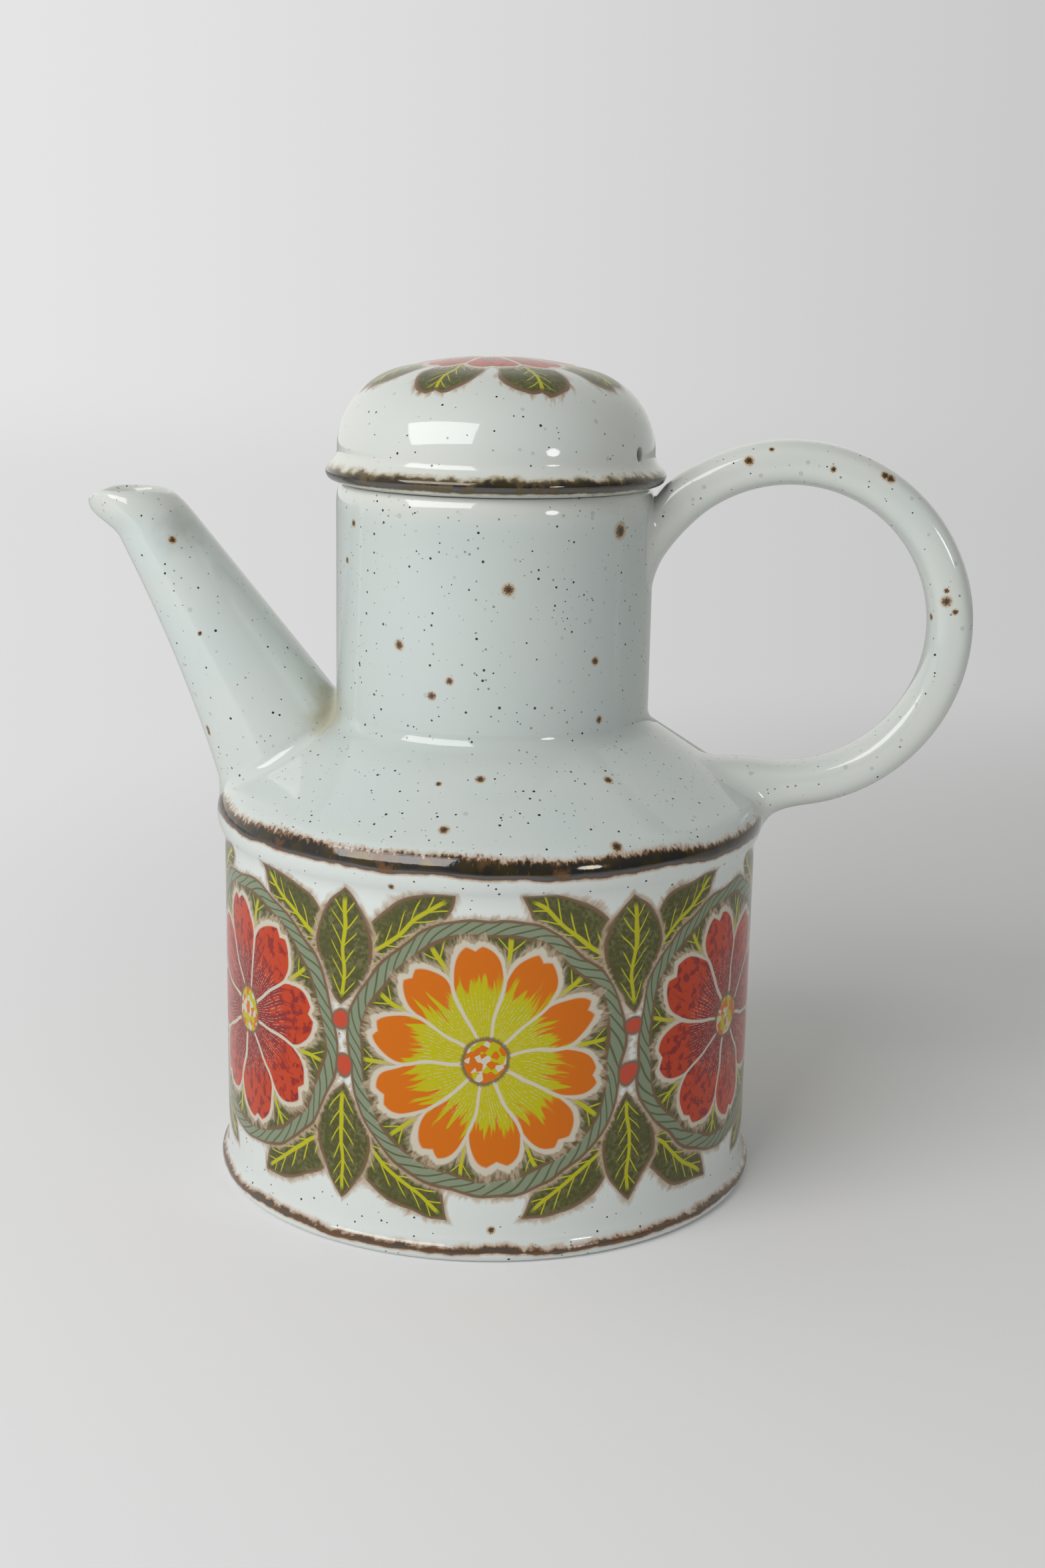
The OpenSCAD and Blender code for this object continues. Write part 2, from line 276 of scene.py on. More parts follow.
def stand_off(point):
    """Distance from the pot's skin, less than zero inside it, and the skin's outward direction."""
    r = math.hypot(point.x, point.y)
    offset = np.array((r, point.z)) - skin_a
    share = np.clip((offset * skin_run).sum(1) / skin_length ** 2, 0, 1)
    gap = offset - share[:, None] * skin_run
    near = int(np.argmin((gap ** 2).sum(1)))
    out_r = skin_run[near, 1] / skin_length[near]
    out_z = -skin_run[near, 0] / skin_length[near]
    side = math.copysign(1, gap[near, 0] * out_r + gap[near, 1] * out_z)
    outward = Vector((out_r * point.x / r, out_r * point.y / r, out_z))
    return side * math.hypot(*gap[near]), outward


def halved(start, stop, before):
    """The share between start and stop up to which before holds, found by halving."""
    for _ in range(HALVINGS):
        middle = (start + stop) / 2
        start, stop = (middle, stop) if before(middle) else (start, middle)
    return (start + stop) / 2


def where(line, near, far, height):
    """The share of a line, between near and far, at which it stands height off the pot."""
    return halved(near, far, lambda share: stand_off(line(share))[0] > height)


# %% Helpers that skin a row of rings and lute its end
COVE_STEPS = 8
SETTLINGS = 3
TUCK = 0.35
NUDGE = 0.004


def even_turns(count):
    """Angles at even steps of a full turn."""
    return [2 * math.pi * i / count for i in range(count)]


def rows(lines, starts, stops, steps):
    """Rings at even steps between two shares of each line."""
    return [[line(start + (stop - start) * i / steps)
             for line, start, stop in zip(lines, starts, stops)] for i in range(steps + 1)]


def cove_radius(first, last):
    """How the radius of a cove goes from first to last and back on its way round."""
    return lambda share: first + (last - first) * (1 - math.cos(2 * math.pi * share)) / 2


def coved(lines, near, far, cove):
    """The rings of a cove where a skin meets the pot, and the share at which each line joins it."""
    rings = []
    joins = []
    count = len(lines)
    for part in range(COVE_STEPS + 1):
        turn = math.pi / 2 * part / COVE_STEPS
        ring = []
        for i, line in enumerate(lines):
            radius = cove(i / count)
            height = radius * (1 - math.sin(turn))
            share = where(line, near, far, height)
            if part == 0:
                joins.append(share)
            point = line(share)
            along = line(share + NUDGE) - line(share - NUDGE)
            across = lines[(i + 1) % count](share) - lines[i - 1](share)
            side = across.cross(along).normalized()
            outward = stand_off(point)[1]
            away = (side - side.dot(outward) * outward).normalized()
            middle = sum((other(share) for other in lines), Vector()) / count
            if away.dot(point - middle) < 0:
                away = -away
            point = point + away * radius * (1 - math.cos(turn))
            for _ in range(SETTLINGS):
                off, outward = stand_off(point)
                point = point + outward * (height - off)
            ring.append(point)
        rings.append(ring)
    tucked = [point - stand_off(point)[1] * TUCK for point in rings[-1]]
    return rings + [tucked], joins


def skinned(rings):
    """A skin through rings of points: a circle is drawn, then extruded and moved ring by ring."""
    bm = bmesh.new()
    verts = bmesh.ops.create_circle(bm, segments=len(rings[0]), radius=1)["verts"]
    ends = []
    for place, ring in enumerate(rings):
        if place:
            lines = [bm.edges.get(pair) for pair in zip(verts, verts[1:] + verts[:1])]
            grown = set(bmesh.ops.extrude_edge_only(bm, edges=lines)["geom"])
            verts = [next(e.other_vert(v) for e in v.link_edges if e.other_vert(v) in grown)
                     for v in verts]
        for vert, point in zip(verts, ring):
            vert.co = point
        if place in (0, len(rings) - 1):
            ends.append([bm.edges.get(pair) for pair in zip(verts, verts[1:] + verts[:1])])
    return bm, ends


# %% [markdown]
# ## The spout
#
# The spout is a skin between a front edge that bows outwards and a straight back edge. It narrows
# from a wide root to a small level mouth, and its front is drawn out into a beak so that it pours
# without dripping. The same rings, set in by the wall, make the bore, and a half circle of rings
# between the two skins rounds the lip. A wet sponge takes the corners off the rim at both ends,
# so the rim falls away over the beak and over the back.

# %% Edges and rings of the spout
BEAK = 3.0
MOUTH_LEN = 21.0
MOUTH_W = 22.0
SPOUT_ROOT_W = 40.0
SPOUT_WALL = 3.4
SPOUT_LEAN = math.radians(16)
BOW_AT = 0.48
JUT = 4.3
JUT_FROM = 0.85
JUT_TO = 0.935
SPOUT_LINES = 72

spout_reach = -spout_low.x - BEAK
mouth_z = spout_high.z
front_mouth = (spout_reach, mouth_z)
front_rise = BOW_AT * (mouth_z - front_root[1])
front_bow = (front_root[0] + front_rise * math.tan(SPOUT_LEAN), front_root[1] + front_rise)
back_mouth = (spout_reach - MOUTH_LEN, mouth_z)
BURIED = Vector((25, 40))


def eased(v):
    """A smooth step from 0 to 1."""
    v = max(0.0, min(1.0, v))
    return v * v * (3 - 2 * v)


def spout_point(turn, t, inset=0.0):
    """A point of the spout at an angle round it and a share of its length; below 0 it is buried."""
    up = max(t, 0.0)
    beak = eased((up - JUT_FROM) / (JUT_TO - JUT_FROM))
    front = Vector(bow(front_root, front_bow, front_mouth, up)) + Vector((JUT * beak, 0))
    back = Vector(back_root).lerp(Vector(back_mouth), up)
    half_w = (SPOUT_ROOT_W + up * (MOUTH_W - SPOUT_ROOT_W)) / 2
    front += BURIED * min(t, 0.0)
    back += BURIED * min(t, 0.0)
    middle, reach = (front + back) / 2, (front - back) / 2
    keep = 1 - inset / reach.length
    pinch = 2 * JUT / MOUTH_W * beak * max(0.0, math.cos(turn)) ** 2
    return Vector((-middle.x - keep * reach.x * math.cos(turn),
                   (half_w - inset) * math.sin(turn) * (1 - pinch),
                   middle.y + keep * reach.y * math.cos(turn)))


spout_turns = even_turns(SPOUT_LINES)
print(f"spout: mouth at {mouth_z:.1f}, reach {spout_reach:.1f}")

# %% Skin the spout, round its lip and lute it to the pot
SPOUT_COVE = 3.2
CROTCH_COVE = 2.6
LIP_STEPS = 12
LIP_AT = 0.975
SPOUT_STEPS = 84
CLEAR_OF_POT = 0.6
INSIDE_POT = -0.2
BACK_ROUND = 11.0
BACK_LONG = 4.4
BACK_LIP = 4.2
SIDE_LIP = 3.2
TIP_ROUND = 12.8
TIP_LONG = 6.3

lip_r = SPOUT_WALL / 2


def at_height(turn, height, inset=0.0):
    """The point of the spout at an angle round it and a height."""
    t = halved(0.5, 1.05, lambda share: spout_point(turn, share).z < height)
    return spout_point(turn, t, inset), t


def lip_shape(turn):
    """Where the lip's rounding starts at an angle round the mouth, and how high it goes."""
    x = -spout_point(turn, LIP_AT, lip_r).x
    back = max(0.0, back_mouth[0] + BACK_LONG - x)
    tip = max(0.0, x - spout_reach + TIP_LONG)
    fallen = (BACK_ROUND - math.sqrt(BACK_ROUND ** 2 - back ** 2)
              + TIP_ROUND - math.sqrt(TIP_ROUND ** 2 - tip ** 2))
    high = SIDE_LIP + (BACK_LIP - SIDE_LIP) * ((1 - math.cos(turn)) / 2) ** 3
    return mouth_z - fallen - high, high


def lip_ring(roll):
    """A ring of the rounded lip: roll runs from 0 outside to a half turn inside."""
    inset = lip_r * (1 - math.cos(roll))
    shapes = [(turn, *lip_shape(turn)) for turn in spout_turns]
    return [at_height(turn, start + high * math.sin(roll), inset)[0]
            for turn, start, high in shapes]


def spout_lines(inset):
    """The lines along the spout's skin, or along its bore when set in by the wall."""
    return [lambda t, turn=turn: spout_point(turn, t, inset) for turn in spout_turns]


skin_lines = spout_lines(0.0)
bore_lines = spout_lines(SPOUT_WALL)
root, joins = coved(skin_lines, CLEAR_OF_POT, INSIDE_POT, cove_radius(SPOUT_COVE, CROTCH_COVE))
lip_starts = [at_height(turn, lip_shape(turn)[0])[1] for turn in spout_turns]
bore_ends = [where(line, CLEAR_OF_POT, INSIDE_POT, -TUCK) for line in bore_lines]
rising = rows(skin_lines, joins, lip_starts, SPOUT_STEPS)[1:-1]
rolled = [lip_ring(math.pi * i / LIP_STEPS) for i in range(LIP_STEPS + 1)]
falling = rows(bore_lines, lip_starts, bore_ends, SPOUT_STEPS)[1:]
shape, (root_edges, bore_edges) = skinned(root[::-1] + rising + rolled + falling)
bmesh.ops.bridge_loops(shape, edges=root_edges + bore_edges)
bmesh.ops.recalc_face_normals(shape, faces=shape.faces)
spout = as_object(shape, "luted_spout")
print(f"spout: {len(spout.data.vertices)} vertices")

# %% [markdown]
# ## The handle
#
# The handle is pulled as a strap and bent into a ring. Its section is an ellipse with fuller
# corners, and both of its ends spread as they run into the pot. Four edges guide it: an outer and
# an inner one for each root, which meet the ring's two circles without a kink. The upper cove is
# small on top, where the lid's rim passes close by.

# %% Edges and rings of the handle
GRIP_R = 37.2
STRAP_T = 11.6
STRAP_W = 15.5
ROOT_SPREAD = 2.5
FULLNESS = 2 / 3
OUTER = (118, -80)
INNER = (125, -95)
UPPER_PULL = STRAP_T / 2
LOWER_PULL = STRAP_T / 2.5
UPPER = 1 / 6
LOWER = 5 / 6
SINK = 5

outer_r = GRIP_R + STRAP_T
grip = Vector((handle_high.x - outer_r, handle_high.z - outer_r))


def on_ring(radius, degrees):
    """A point of the ring, in the plane of the handle."""
    a = math.radians(degrees)
    return grip + radius * Vector((math.cos(a), math.sin(a)))


def meeting(radius, degrees, pull):
    """How a root meets the ring: the point it is pulled towards, and the point where it ends."""
    a = math.radians(degrees)
    end = on_ring(radius, degrees)
    return end + pull * Vector((-math.sin(a), math.cos(a))), end


def by_neck(x, z):
    """A point given from the rim of the neck."""
    return Vector((NECK_R + x, NECK_TOP + z))


def by_bead(x, z):
    """A point given from the middle of the bead."""
    return Vector((DRUM_R + x, bead_z + z))


def by_shoulder(x, z):
    """A point given from the slope of the shoulder."""
    return Vector((DRUM_R + x, SHOULDER_Z - x * math.tan(SLOPE) + z))


def curve(a, b, c, d, t):
    """A point of the curve from a to d that leaves towards b and arrives from c."""
    s = 1 - t
    return s ** 3 * a + 3 * s * s * t * b + 3 * s * t * t * c + t ** 3 * d


upper_outer = (by_neck(-0.5, -3), by_neck(3.5, 3.1), *meeting(outer_r, OUTER[0], UPPER_PULL))
upper_inner = (by_neck(-0.4, -24.5), by_neck(1.8, -17), *meeting(GRIP_R, INNER[0], UPPER_PULL))
lower_outer = (*meeting(outer_r, OUTER[1], -LOWER_PULL)[::-1], by_bead(5.5, 2.6), by_bead(0.5, -2))
lower_inner = (*meeting(GRIP_R, INNER[1], -LOWER_PULL)[::-1],
               by_shoulder(-7, 5.7), by_shoulder(-15, -1))
upper_buried = (by_neck(-6, -5), by_neck(-6, -21))
lower_buried = (by_bead(-6, -8), by_shoulder(-21, -10))


def strap_edges(q):
    """Outer edge, inner edge and spread at a share of the handle's length, from neck to bead."""
    if q < 0:
        return (upper_outer[0].lerp(upper_buried[0], -q * SINK),
                upper_inner[0].lerp(upper_buried[1], -q * SINK), 1.0)
    if q < UPPER:
        t = q / UPPER
        return curve(*upper_outer, t), curve(*upper_inner, t), (1 - t) ** 2
    if q <= LOWER:
        t = (q - UPPER) / (LOWER - UPPER)
        return (on_ring(outer_r, OUTER[0] + t * (OUTER[1] - OUTER[0])),
                on_ring(GRIP_R, INNER[0] + t * (INNER[1] - INNER[0])), 0.0)
    if q <= 1:
        t = (q - LOWER) / (1 - LOWER)
        return curve(*lower_outer, t), curve(*lower_inner, t), t * t
    return (lower_outer[3].lerp(lower_buried[0], (q - 1) * SINK),
            lower_inner[3].lerp(lower_buried[1], (q - 1) * SINK), 1.0)


def full(v):
    """Fills out the corners of an ellipse."""
    return math.copysign(abs(v) ** FULLNESS, v)


def strap_point(turn, q):
    """A point of the handle at an angle round the strap and a share of its length."""
    outer, inner, spread = strap_edges(q)
    middle, reach = (outer + inner) / 2, (outer - inner) / 2
    half_w = STRAP_W / 2 + ROOT_SPREAD * spread
    return Vector((middle.x + reach.x * full(math.cos(turn)), half_w * full(math.sin(turn)),
                   middle.y + reach.y * full(math.cos(turn))))


print(f"handle: ring {GRIP_R:.1f} to {outer_r:.1f} about ({grip.x:.1f}, {grip.y:.1f})")

# %% Skin the handle and lute both of its ends
TOP_COVE = 1.0
SIDE_COVE = 3.2
STRAP_LINES = 48
STRAP_STEPS = 96
HALF_WAY = 0.5
IN_NECK = -0.2
IN_BEAD = 1.2

strap_lines = [lambda q, turn=turn: strap_point(turn, q) for turn in even_turns(STRAP_LINES)]
upper_root, starts = coved(strap_lines, HALF_WAY, IN_NECK, cove_radius(TOP_COVE, SIDE_COVE))
lower_root, stops = coved(strap_lines, HALF_WAY, IN_BEAD, cove_radius(SIDE_COVE, SIDE_COVE))
strap = rows(strap_lines, starts, stops, STRAP_STEPS)[1:-1]
shape, ends = skinned(upper_root[::-1] + strap + lower_root)
for edges in ends:
    bmesh.ops.contextual_create(shape, geom=edges)
bmesh.ops.recalc_face_normals(shape, faces=shape.faces)
handle = as_object(shape, "ring_handle")
print(f"handle: {len(handle.data.vertices)} vertices")

# %% [markdown]
# ## The lid
#
# The lid is turned like the pot: a dome whose side rolls into a shallow crown, a thick flared rim
# that rests on the neck, and a ring under it that keeps it from sliding. Its steam hole is drilled
# while the clay is soft, so the drill flares at the surface and leaves a rounded edge.

# %% Outline of the lid
RIM_T = 4.4
RIM_LIFT = 0.6
DOME_IN = 0.2
DOME_CORNER = 21.5
CROWN_R = 102.0
RIM_FROM = -75
COVE_FROM = 50
COVE_H = 5.6
INNER_BEND = (4, 2)
KINK = 0.1
LID_WALL = 4.5
PLUG_H = 9.5
PLUG_T = 3.5
PLUG_GAP = 0.8

rim_r = lid_high.x
seat_z = lid_low.z + PLUG_H
dome_r = NECK_R - DOME_IN
plug_r = inner_neck_r - PLUG_GAP
crown_z = lid_high.z - CROWN_R
corner_in = dome_r - DOME_CORNER
corner = (corner_in, crown_z + math.sqrt((CROWN_R - DOME_CORNER) ** 2 - corner_in ** 2))
corner_to = math.degrees(math.atan2(corner[1] - crown_z, corner[0]))
rim_mid = (rim_r - RIM_T / 2, seat_z + RIM_LIFT + RIM_T / 2)

rim_round = arc(rim_mid, RIM_T / 2, RIM_FROM, COVE_FROM, 16)
cove_start = rim_round[-1]
cove_mid = cove_start[1] + (cove_start[0] - dome_r) / math.tan(math.radians(COVE_FROM))
cove_top = min(rim_mid[1] + COVE_H, corner[1] - KINK)
cove = bend(cove_start, (dome_r, cove_mid), (dome_r, cove_top), 14)
dome = arc(corner, DOME_CORNER, 0, corner_to, 34)
crown = arc((0, crown_z), CROWN_R, corner_to, 90, 16)[1:]
inner_crown = arc((0, crown_z), CROWN_R - LID_WALL, 90, corner_to, 10)
inner_dome = arc(corner, DOME_CORNER - LID_WALL, corner_to, 0, 10)[1:]
inner_bend = bend((dome_r - LID_WALL, min(rim_mid[1] + INNER_BEND[0], corner[1] - KINK)),
                  (plug_r - PLUG_T, rim_mid[1] + INNER_BEND[1]),
                  (plug_r - PLUG_T, seat_z - RIM_LIFT), 6)
plug = arc((plug_r - PLUG_T / 2, seat_z - PLUG_H + PLUG_T / 2), PLUG_T / 2, 180, 360, 12)
lid_outline = ([(plug_r, seat_z), (rim_mid[0] - 1, seat_z)] + rim_round + cove
               + dome + crown + inner_crown + inner_dome
               + inner_bend + plug + [(plug_r, seat_z)])
print(f"lid: {len(lid_outline)} points")

# %% Spin the lid and drill its steam hole
VENT_R = 1.8
VENT_Z = 9.6
VENT_TURN = math.radians(-25)
VENT_FLARE = 0.7
PROUD = 0.12
OVERRUN = 4

lid = as_object(spun(lid_outline), "domed_lid")
drill_tip = dome_r - LID_WALL - OVERRUN
drill_end = dome_r + OVERRUN
vent_edge = arc((VENT_R + VENT_FLARE, dome_r + PROUD - VENT_FLARE), VENT_FLARE, 180, 90, 6)
drill = spun([(0, drill_tip), (VENT_R, drill_tip)] + vent_edge
             + [(VENT_R + VENT_FLARE, drill_end), (0, drill_end)], 48)
bmesh.ops.rotate(drill, verts=drill.verts, matrix=Matrix.Rotation(math.pi / 2, 3, "Y"))
bmesh.ops.translate(drill, verts=drill.verts, vec=(0, 0, seat_z + VENT_Z))
bmesh.ops.rotate(drill, verts=drill.verts, matrix=Matrix.Rotation(VENT_TURN, 3, "Z"))
holed(lid, as_object(drill, "vent_drill"))

# %% [markdown]
# ## Arithmetic for glazes
#
# A glaze is drawn by many small sums: how far a point lies from a speck, from the edge of a band
# or from the rim of a petal. In the editor each sum is a Math node. Here a small class wraps an
# output socket and lets Python's own operators add those nodes, so a formula reads like one.

# %% Wires and nodes
def node(tree, kind, settings=None, values=None, out=0):
    """Adds a node: first its settings, then the values or links of its sockets."""
    made = tree.nodes.new(kind)
    for name, value in (settings or {}).items():
        setattr(made, name, value)
    for name, value in (values or {}).items():
        if isinstance(value, Wire):
            tree.links.new(value.socket, made.inputs[name])
        else:
            made.inputs[name].default_value = value
    return Wire(made.outputs[out]) if made.outputs else None


class Wire:
    """An output socket. Arithmetic on it adds Math nodes to its tree."""

    def __init__(self, socket):
        self.socket = socket
        self.tree = socket.id_data

    def sum_of(self, operation, *terms):
        return node(self.tree, "ShaderNodeMath", {"operation": operation}, dict(enumerate(terms)))

    def math(self, operation, *others):
        return self.sum_of(operation, self, *others)

    def other(self, name):
        return Wire(self.socket.node.outputs[name])

    def __add__(self, more):
        return self.sum_of("ADD", self, more)

    def __mul__(self, times):
        return self.sum_of("MULTIPLY", self, times)

    def __sub__(self, less):
        return self.sum_of("SUBTRACT", self, less)

    def __rsub__(self, whole):
        return self.sum_of("SUBTRACT", whole, self)

    def __truediv__(self, parts):
        return self.sum_of("DIVIDE", self, parts)

    def __rtruediv__(self, whole):
        return self.sum_of("DIVIDE", whole, self)

    def __abs__(self):
        return self.sum_of("ABSOLUTE", self)

    __radd__ = __add__
    __rmul__ = __mul__


# %% Helpers for places, noise and masks
def step(value, start, stop):
    """A smooth mask: 0 at start and 1 at stop, whichever of the two is larger."""
    return node(value.tree, "ShaderNodeMapRange", {"interpolation_type": "SMOOTHSTEP"},
                {"Value": value, "From Min": start, "From Max": stop})


def laid(mask, under, over):
    """One colour laid over another where the mask is 1."""
    return node(mask.tree, "ShaderNodeMix", {"data_type": "RGBA"}, {0: mask, 6: under, 7: over}, 2)


def clouds(place, size, detail=2.0):
    """Soft noise with lumps of about size, mostly between 0.3 and 0.7."""
    return node(place.tree, "ShaderNodeTexNoise", {"noise_dimensions": "3D"},
                {"Vector": place, "Scale": 1 / size, "Detail": detail})


def stray(place, size, detail=2.0):
    """The same noise, to either side of zero."""
    return clouds(place, size, detail) - 0.5


def cells(place, size, out="Distance"):
    """Points scattered through space, one to a cell of this size. Distances are in cells."""
    return node(place.tree, "ShaderNodeTexVoronoi", {"voronoi_dimensions": "3D", "feature": "F1"},
                {"Vector": place, "Scale": 1 / size}, out)


def gap_to(place, point):
    """The distance of a place from one point."""
    return node(place.tree, "ShaderNodeVectorMath", {"operation": "DISTANCE"},
                {0: place, 1: point}, "Value")


def joined(tree, x, y, z):
    """A place made of three coordinates."""
    return node(tree, "ShaderNodeCombineXYZ", None, {"X": x, "Y": y, "Z": z})


def parted(place):
    """The three coordinates of a place."""
    x = node(place.tree, "ShaderNodeSeparateXYZ", None, {"Vector": place})
    return x, x.other("Y"), x.other("Z")


def length(x, y):
    """How long the diagonal of two lengths is."""
    return (x * x + y * y).math("SQRT")


def in_mm(tree):
    """The place on the piece, in millimetres."""
    metres = node(tree, "ShaderNodeTexCoord", None, None, "Object")
    return node(tree, "ShaderNodeVectorMath", {"operation": "SCALE"},
                {0: metres, "Scale": 1 / MM})


def colour(red, green, blue):
    """A colour as nodes take it, in linear light."""
    return (red, green, blue, 1.0)


# %% [markdown]
# ## The speckled glaze
#
# The glaze is a pale grey-green over a body full of iron. Fine brown pinpricks show everywhere,
# and here and there a grain of iron melts into a dark spot with a rusty ring and a tan halo.
#
# Points scattered through space by a Voronoi texture give the pinpricks: wherever the surface
# cuts through a small ball about such a point, a speck appears. So they need no UV map, and each
# piece has its own. The larger spots are placed one by one on the front, and scattered behind.

# %% Colours of the glaze
GLAZE_COOL = colour(0.605, 0.668, 0.655)
GLAZE_WARM = colour(0.645, 0.686, 0.655)
# Painted shade: a darker glaze for the neck, which catches less light than the rest.
GLAZE_PAINTED_SHADE = colour(0.520, 0.575, 0.560)
GLAZE_PALE = colour(0.700, 0.742, 0.722)
GLAZE_THIN = colour(0.705, 0.705, 0.655)
SPECK_DARK = colour(0.035, 0.028, 0.022)
SPECK_BROWN = colour(0.16, 0.11, 0.07)
SPECK_SUNK = colour(0.36, 0.39, 0.385)
IRON_BLACK = colour(0.040, 0.026, 0.014)
IRON_RUST = colour(0.155, 0.075, 0.025)
IRON_TAN = colour(0.47, 0.33, 0.17)
STAIN = colour(0.44, 0.40, 0.25)
SMOKE = colour(0.40, 0.405, 0.37)
BARE_CLAY = colour(0.58, 0.50, 0.40)


# %% Helpers for specks and spots
def drawn(hues):
    """Random numbers for each cell, from its random colour."""
    return node(hues.tree, "ShaderNodeSeparateColor", None, {"Color": hues})


def specks(place, cell, small, large, share):
    """A mask of specks: one ball in each cell of space, of random size, in a share of the cells."""
    gap = cells(place, cell)
    chance = drawn(gap.other("Color"))
    size = (small + (large - small) * chance.other("Green") * chance.other("Green")) / cell
    return step(gap, size, size * 0.75) * chance.math("LESS_THAN", share)


FAR_CELL = 13.0
FAR_SIZE = 1.3
OUT_OF_SIGHT = 9.0


def grains(place, placed):
    """How far a point is from the nearest iron grain, in parts of the size of its spot."""
    in_front = step(parted(place)[1], 8.0, 4.0)
    nearest = cells(place, FAR_CELL) * (FAR_CELL / FAR_SIZE) + in_front * OUT_OF_SIGHT
    for *centre, size in placed:
        nearest = nearest.math("MINIMUM", gap_to(place, centre) / size)
    return nearest


def iron_grains(place, under, placed):
    """Lays the iron spots over a colour: a ragged dark heart, a brown star and a tan halo."""
    share = grains(place, placed)
    ragged = share * (0.05 + 1.9 * clouds(place, 0.45, 3))
    halo = laid(step(share, 1.5, 0.7) * 0.8, under, IRON_TAN)
    star = laid(step(ragged, 0.92, 0.62), halo, IRON_RUST)
    return laid(step(ragged, 0.50, 0.28), star, IRON_BLACK)


def bare_glaze(place):
    """The glaze with its slow drift of colour."""
    return laid(step(clouds(place, 34), 0.3, 0.7), GLAZE_COOL, GLAZE_WARM)


def pricked(place, under, share):
    """Lays the pinpricks over a glaze. share is how many of the possible ones are there."""
    sunk = laid(specks(place, 3.6, 0.35, 0.80, 0.5) * 0.45, under, SPECK_SUNK)
    brown = laid(specks(place, 1.9, 0.15, 0.38, share * 1.2) * 0.75, sunk, SPECK_BROWN)
    return laid(specks(place, 2.2, 0.18, 0.45, share), brown, SPECK_DARK)


def stained(place, under, centre, size, strength, hue=STAIN):
    """A stain that has crept into the glaze round a point: coffee, or smoke from the kiln."""
    edge = gap_to(place, centre) / size + stray(place, 5, 3) * 1.1
    return laid(step(edge, 1.15, 0.1) * strength, under, hue)


# %% [markdown]
# ## Iron bands
#
# A brush loaded with iron oxide is held to the turning pot at the bead, the foot and the rim of
# the lid. Where it lies thick it fires to a glossy black, and its lower half turns gunmetal grey,
# which is partly painted: a painted sheen of reflected light on the black.
# At the edges it thins to rust and runs into the glaze in fine hairs, and here and there it
# breaks up into blots on tan.
#
# The mask is a depth: how far inside the band a point lies, less a noise stretched upwards for
# the hairs. Three thresholds on that depth give tan, rust and black.

# %% A band of iron
BAND_BLACK = colour(0.040, 0.036, 0.032)
BAND_OLIVE = colour(0.070, 0.052, 0.022)
# Gunmetal grey, partly a painted sheen of reflected light.
BAND_GREY_SHEEN = colour(0.105, 0.100, 0.105)
BAND_RUST = colour(0.130, 0.062, 0.024)
BAND_TAN = colour(0.50, 0.35, 0.24)
LID_RUST = colour(0.100, 0.070, 0.030)
LID_TAN = colour(0.42, 0.34, 0.20)


def iron_band(place, up, half, there, furry, lumpy, broken):
    """Masks of a band: tan, rust, black and relief. up is the height over its middle line."""
    x, y, z = parted(place)
    below = up + half
    above = half - up
    hair = stray(joined(place.tree, x, y, z * 0.14), 0.8, 3)
    lump = stray(place, 3.2, 3)
    patch = clouds(joined(place.tree, x, y, z * 0.3), 15, 1)
    fur = hair * furry
    top = above + lump * lumpy
    foot = (below + lump * 1.2) * 1.6
    depth = foot.math("MINIMUM", top + fur)
    holes = step(patch, broken, broken + 0.05) * step(lump, -0.08, 0.06)
    cracks = step(hair, -0.14, -0.18) * 0.8
    tan = step(foot.math("MINIMUM", top + fur * 0.45), -1.1, 0.2)
    rust = step(depth, -0.2, 0.6)
    black = step(depth, 0.5, 1.1) * (1 - holes) * (1 - cracks)
    relief = step(below.math("MINIMUM", above), -0.6, 1.4) * (1.0 + 0.6 * lump)
    return [mask * there for mask in (tan, rust, black, relief)]


def banded(place, masks, under, grey, thin=BAND_TAN, rusty=BAND_RUST):
    """Lays a band over a colour. grey is the mask of its gunmetal part, grey metal with a painted
    sheen of reflected light.
    """
    tan, rust, black, _ = masks
    edge = laid(rust, laid(tan * 0.8, under, thin), rusty)
    core = laid(step(clouds(place, 6, 2), 0.42, 0.60), BAND_BLACK, BAND_OLIVE)
    return laid(black, edge, laid(grey, core, BAND_GREY_SHEEN))


# %% [markdown]
# ## The painted border
#
# The drum carries a printed border of flowers under the glaze, in red, yellow and olive. This is
# a plain folk pattern of its own: round medallions, each a daisy inside a sage wreath, with a
# trio of leaves above and below in the gaps between.
#
# The pattern is drawn by distances, as a compass and a ruler would draw it. Unrolling the drum
# gives a place along it and a height. Folding these about each medallion's centre leaves one
# petal and one leaf to draw. Where each shape ends, the print bleeds into a fringe of brown hairs.

# %% Colours of the print
YELLOW = colour(0.49, 0.45, 0.001)
ORANGE = colour(0.62, 0.145, 0.001)
SCARLET = colour(0.52, 0.048, 0.010)
CRIMSON = colour(0.26, 0.018, 0.015)
OLIVE = colour(0.080, 0.080, 0.024)
MOSS = colour(0.150, 0.150, 0.062)
VEIN = colour(0.48, 0.46, 0.012)
SAGE = colour(0.225, 0.270, 0.180)
CREAM = colour(0.60, 0.55, 0.45)
FUR_TAN = colour(0.48, 0.375, 0.265)
FUR_BROWN = colour(0.175, 0.105, 0.055)
WANDER = 5.0


